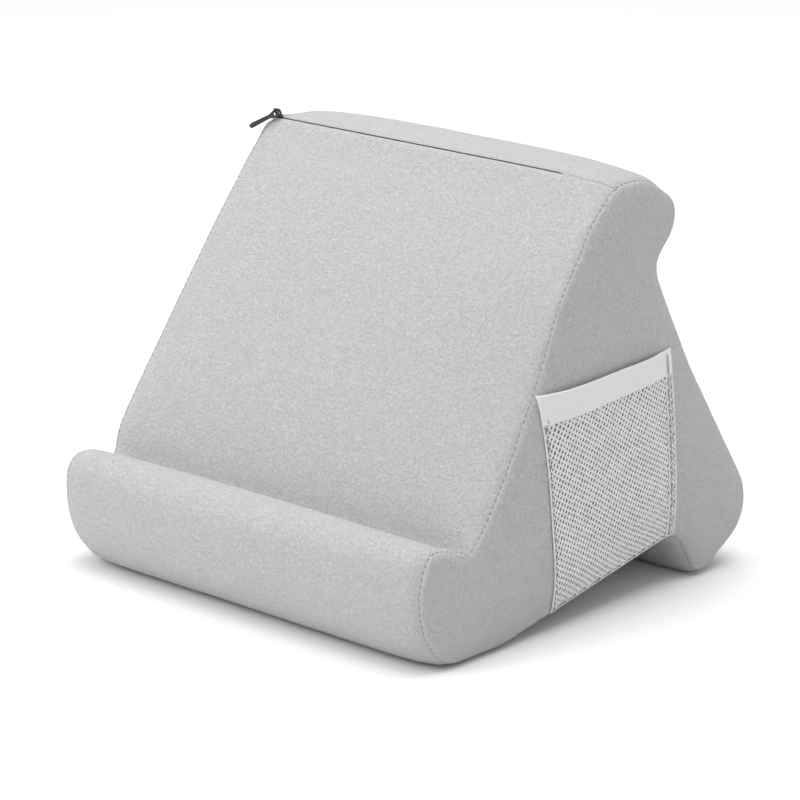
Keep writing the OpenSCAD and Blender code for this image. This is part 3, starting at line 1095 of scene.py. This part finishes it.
def principled(name, color, roughness, **sockets):
    """A material with constant values on its shader's own sockets."""
    material = bpy.data.materials.new(name)
    material.use_nodes = True
    shader = material.node_tree.nodes["Principled BSDF"]
    shader.inputs["Base Color"].default_value = (*color, 1)
    shader.inputs["Roughness"].default_value = roughness
    for socket, value in sockets.items():
        shader.inputs[socket.replace("_", " ")].default_value = value
    return material


def pattern(material, kind, scale, **values):
    """A texture node over the object's own coordinates, scaled in cells per metre."""
    nodes, links = material.node_tree.nodes, material.node_tree.links
    coordinates = nodes.get("coordinates") or nodes.new("ShaderNodeTexCoord")
    coordinates.name = "coordinates"
    texture = nodes.new(kind)
    texture.inputs["Scale"].default_value = scale
    for name, value in values.items():
        if name in texture.inputs:
            texture.inputs[name].default_value = value
        else:
            setattr(texture, name, value)
    links.new(coordinates.outputs["Object"], texture.inputs["Vector"])
    return texture


def tint(material, source, dark, light, low=0.3, high=0.7):
    """Colours the material from dark to light by the source's value."""
    nodes, links = material.node_tree.nodes, material.node_tree.links
    ramp = nodes.new("ShaderNodeValToRGB")
    ramp.color_ramp.elements[0].position = low
    ramp.color_ramp.elements[1].position = high
    ramp.color_ramp.elements[0].color = (*dark, 1)
    ramp.color_ramp.elements[1].color = (*light, 1)
    links.new(source, ramp.inputs["Fac"])
    links.new(ramp.outputs["Color"], nodes["Principled BSDF"].inputs["Base Color"])


def bump(material, source, depth, strength=1.0):
    """Adds relief; further calls add to the first one."""
    nodes, links = material.node_tree.nodes, material.node_tree.links
    shader = nodes["Principled BSDF"]
    relief = nodes.new("ShaderNodeBump")
    relief.inputs["Distance"].default_value = depth * MM
    relief.inputs["Strength"].default_value = strength
    if shader.inputs["Normal"].is_linked:
        links.new(shader.inputs["Normal"].links[0].from_socket, relief.inputs["Normal"])
    links.new(source, relief.inputs["Height"])
    links.new(relief.outputs["Normal"], shader.inputs["Normal"])


def plush():
    """Short plush: faint blotches where the nap lies over, a mottle of tufts, and fine fibres."""
    material = principled("plush", (0.52, 0.52, 0.52), 0.95, Sheen_Weight=0.1, Sheen_Roughness=0.6)
    tuft = pattern(material, "ShaderNodeTexNoise", 520, Detail=5.0, Roughness=0.68, Distortion=1.2)
    blotch = pattern(material, "ShaderNodeTexNoise", 60, Detail=3.0, Roughness=0.5)
    tint(material, tuft.outputs["Fac"], (0.46, 0.459, 0.457), (0.575, 0.574, 0.572), 0.3, 0.7)
    bump(material, blotch.outputs["Fac"], 2.0, 0.4)
    bump(material, tuft.outputs["Fac"], 1.5)
    return material


def liner_cloth():
    material = principled("liner", (0.8, 0.8, 0.79), 0.85)
    fleck = pattern(material, "ShaderNodeTexVoronoi", 900)
    tint(material, fleck.outputs["Distance"], (0.7, 0.7, 0.69), (0.84, 0.84, 0.83), 0.0, 0.6)
    bump(material, fleck.outputs["Distance"], 0.1)
    return material


def foam_block():
    material = principled("foam", (0.8, 0.74, 0.5), 0.9)
    cell = pattern(material, "ShaderNodeTexVoronoi", 700)
    tint(material, cell.outputs["Distance"], (0.62, 0.56, 0.36), (0.84, 0.79, 0.58), 0.0, 0.5)
    bump(material, cell.outputs["Distance"], 0.6)
    return material


def woven_tape():
    material = principled("zip_tape", (0.45, 0.45, 0.46), 0.8)
    weave = pattern(material, "ShaderNodeTexWave", 320, bands_direction="X", Distortion=1.5)
    tint(material, weave.outputs["Fac"], (0.36, 0.36, 0.37), (0.5, 0.5, 0.51), 0.2, 0.8)
    bump(material, weave.outputs["Fac"], 0.12)
    return material


def nylon():
    material = principled("zip_coil", (0.3, 0.3, 0.31), 0.35, Coat_Weight=0.1)
    grain = pattern(material, "ShaderNodeTexNoise", 900, Detail=3.0)
    tint(material, grain.outputs["Fac"], (0.25, 0.25, 0.26), (0.34, 0.34, 0.35))
    return material


def gunmetal():
    material = principled("zip_metal", (0.09, 0.09, 0.095), 0.36, Metallic=1.0)
    grain = pattern(material, "ShaderNodeTexNoise", 700, Detail=5.0, Roughness=0.6)
    tint(material, grain.outputs["Fac"], (0.07, 0.07, 0.075), (0.12, 0.12, 0.125))
    bump(material, grain.outputs["Fac"], 0.03)
    return material


def net_yarn():
    material = principled("pocket_net", (0.78, 0.78, 0.78), 0.8, Sheen_Weight=0.1)
    yarn = pattern(material, "ShaderNodeTexNoise", 2200, Detail=2.0)
    tint(material, yarn.outputs["Fac"], (0.62, 0.62, 0.62), (0.78, 0.78, 0.78))
    bump(material, yarn.outputs["Fac"], 0.15)
    return material


def elastic_weave():
    material = principled("elastic", (0.82, 0.82, 0.82), 0.75, Sheen_Weight=0.1)
    weave = pattern(material, "ShaderNodeTexWave", 420, bands_direction="Z", Distortion=2.5)
    tint(material, weave.outputs["Fac"], (0.7, 0.7, 0.7), (0.8, 0.8, 0.8), 0.2, 0.8)
    bump(material, weave.outputs["Fac"], 0.12)
    return material


def thread_painted_dark_as_shade():
    # Painted shade: the thread is coloured dark so that the stitches along the seams stand in for the
    # shadow in their needle pits. The pocket's tacks and hem stitches share this darkened colour.
    material = principled("thread", (0.42, 0.42, 0.42), 0.7)
    twist = pattern(material, "ShaderNodeTexWave", 1600, bands_direction="DIAGONAL")
    tint(material, twist.outputs["Fac"], (0.22, 0.22, 0.22), (0.36, 0.36, 0.36), 0.2, 0.8)
    return material


# ---- Stage ----

FLOOR = 9000          # half the width of the floor

def stage():
    corners = [(-FLOOR, -FLOOR, 0), (FLOOR, -FLOOR, 0), (FLOOR, FLOOR, 0), (-FLOOR, FLOOR, 0)]
    floor = make_object("floor", corners, [(0, 1, 2, 3)], principled("floor", (0.9, 0.9, 0.9), 0.9))


def area_light(name, size, watts, place, aim):
    data = bpy.data.lights.new(name, "AREA")
    data.shape = "SQUARE"
    data.size = size
    data.energy = watts
    light = bpy.data.objects.new(name, data)
    light.location = place
    light.rotation_euler = (Vector(aim) - Vector(place)).to_track_quat("-Z", "Y").to_euler()
    bpy.context.scene.collection.objects.link(light)


CAMERA_AZIMUTH = 42.62
CAMERA_ELEVATION = 16.11
CAMERA_ROLL = -0.337
CAMERA_DISTANCE = 1.933
CAMERA_LENS = 159.4
CAMERA_AIM = (0.0009, -0.0024, 0.0917)


def camera():
    azimuth = math.radians(CAMERA_AZIMUTH)
    elevation = math.radians(CAMERA_ELEVATION)
    level = math.cos(elevation)
    back = Vector((math.sin(azimuth) * level, -math.cos(azimuth) * level, math.sin(elevation)))
    data = bpy.data.cameras.new("camera")
    data.lens = CAMERA_LENS
    data.sensor_width = 36
    obj = bpy.data.objects.new("camera", data)
    obj.location = Vector(CAMERA_AIM) + CAMERA_DISTANCE * back
    roll = Matrix.Rotation(math.radians(-CAMERA_ROLL), 3, "Z").to_quaternion()
    obj.rotation_euler = ((-back).to_track_quat("-Z", "Y") @ roll).to_euler()
    bpy.context.scene.collection.objects.link(obj)
    bpy.context.scene.camera = obj


def light_room():
    world = bpy.data.worlds.new("world")
    bpy.context.scene.world = world
    world.use_nodes = True
    background = world.node_tree.nodes["Background"]
    background.inputs["Color"].default_value = (1, 1, 1, 1)
    background.inputs["Strength"].default_value = 0.53
    area_light("key", 1.6, 21, (-0.9, -1.4, 1.9), (0, 0, 0.1))
    area_light("low", 1.4, 9, (-1.0, -1.7, 0.8), (0, 0, 0.05))
    area_light("top", 2.4, 60, (0, 0.5, 2.6), (0, 0.2, 0.1))
    bpy.context.scene.view_settings.view_transform = "Standard"


# ---- Build ----

camera()
light_room()
stage()
PLUSH = plush()
LINER = liner_cloth()
FOAM = foam_block()
TAPE = woven_tape()
COIL = nylon()
METAL = gunmetal()
NET = net_yarn()
ELASTIC = elastic_weave()
THREAD_PAINTED_DARK_AS_SHADE = thread_painted_dark_as_shade()

inner = cover_surface(INNER_STEP, (), (), False)
cover = cover_surface(FINE_STEP, SEAM_STEPS, RING_STEPS, True)
puff(cover)
crease_sides(cover)
normals = vertex_normals(cover["points"], every_face(cover))
cover_panels(cover, normals)
seam_threads(cover, normals)
liners(inner)
foam(inner)
for tape in ("zip_tape_front", "zip_tape_rear"):
    zip_tape(tape)
zip_coil("zip_coil_front", "zip_coil_rear", 0.0)
zip_coil("zip_coil_rear", "zip_coil_front", math.pi)
pocket_pieces(cover)

for node in ("zip_top_stop", "zip_bottom_stop", "zip_slider", "zip_pull"):
    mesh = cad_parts[node].data
    mesh.materials.clear()
    mesh.materials.append(METAL)
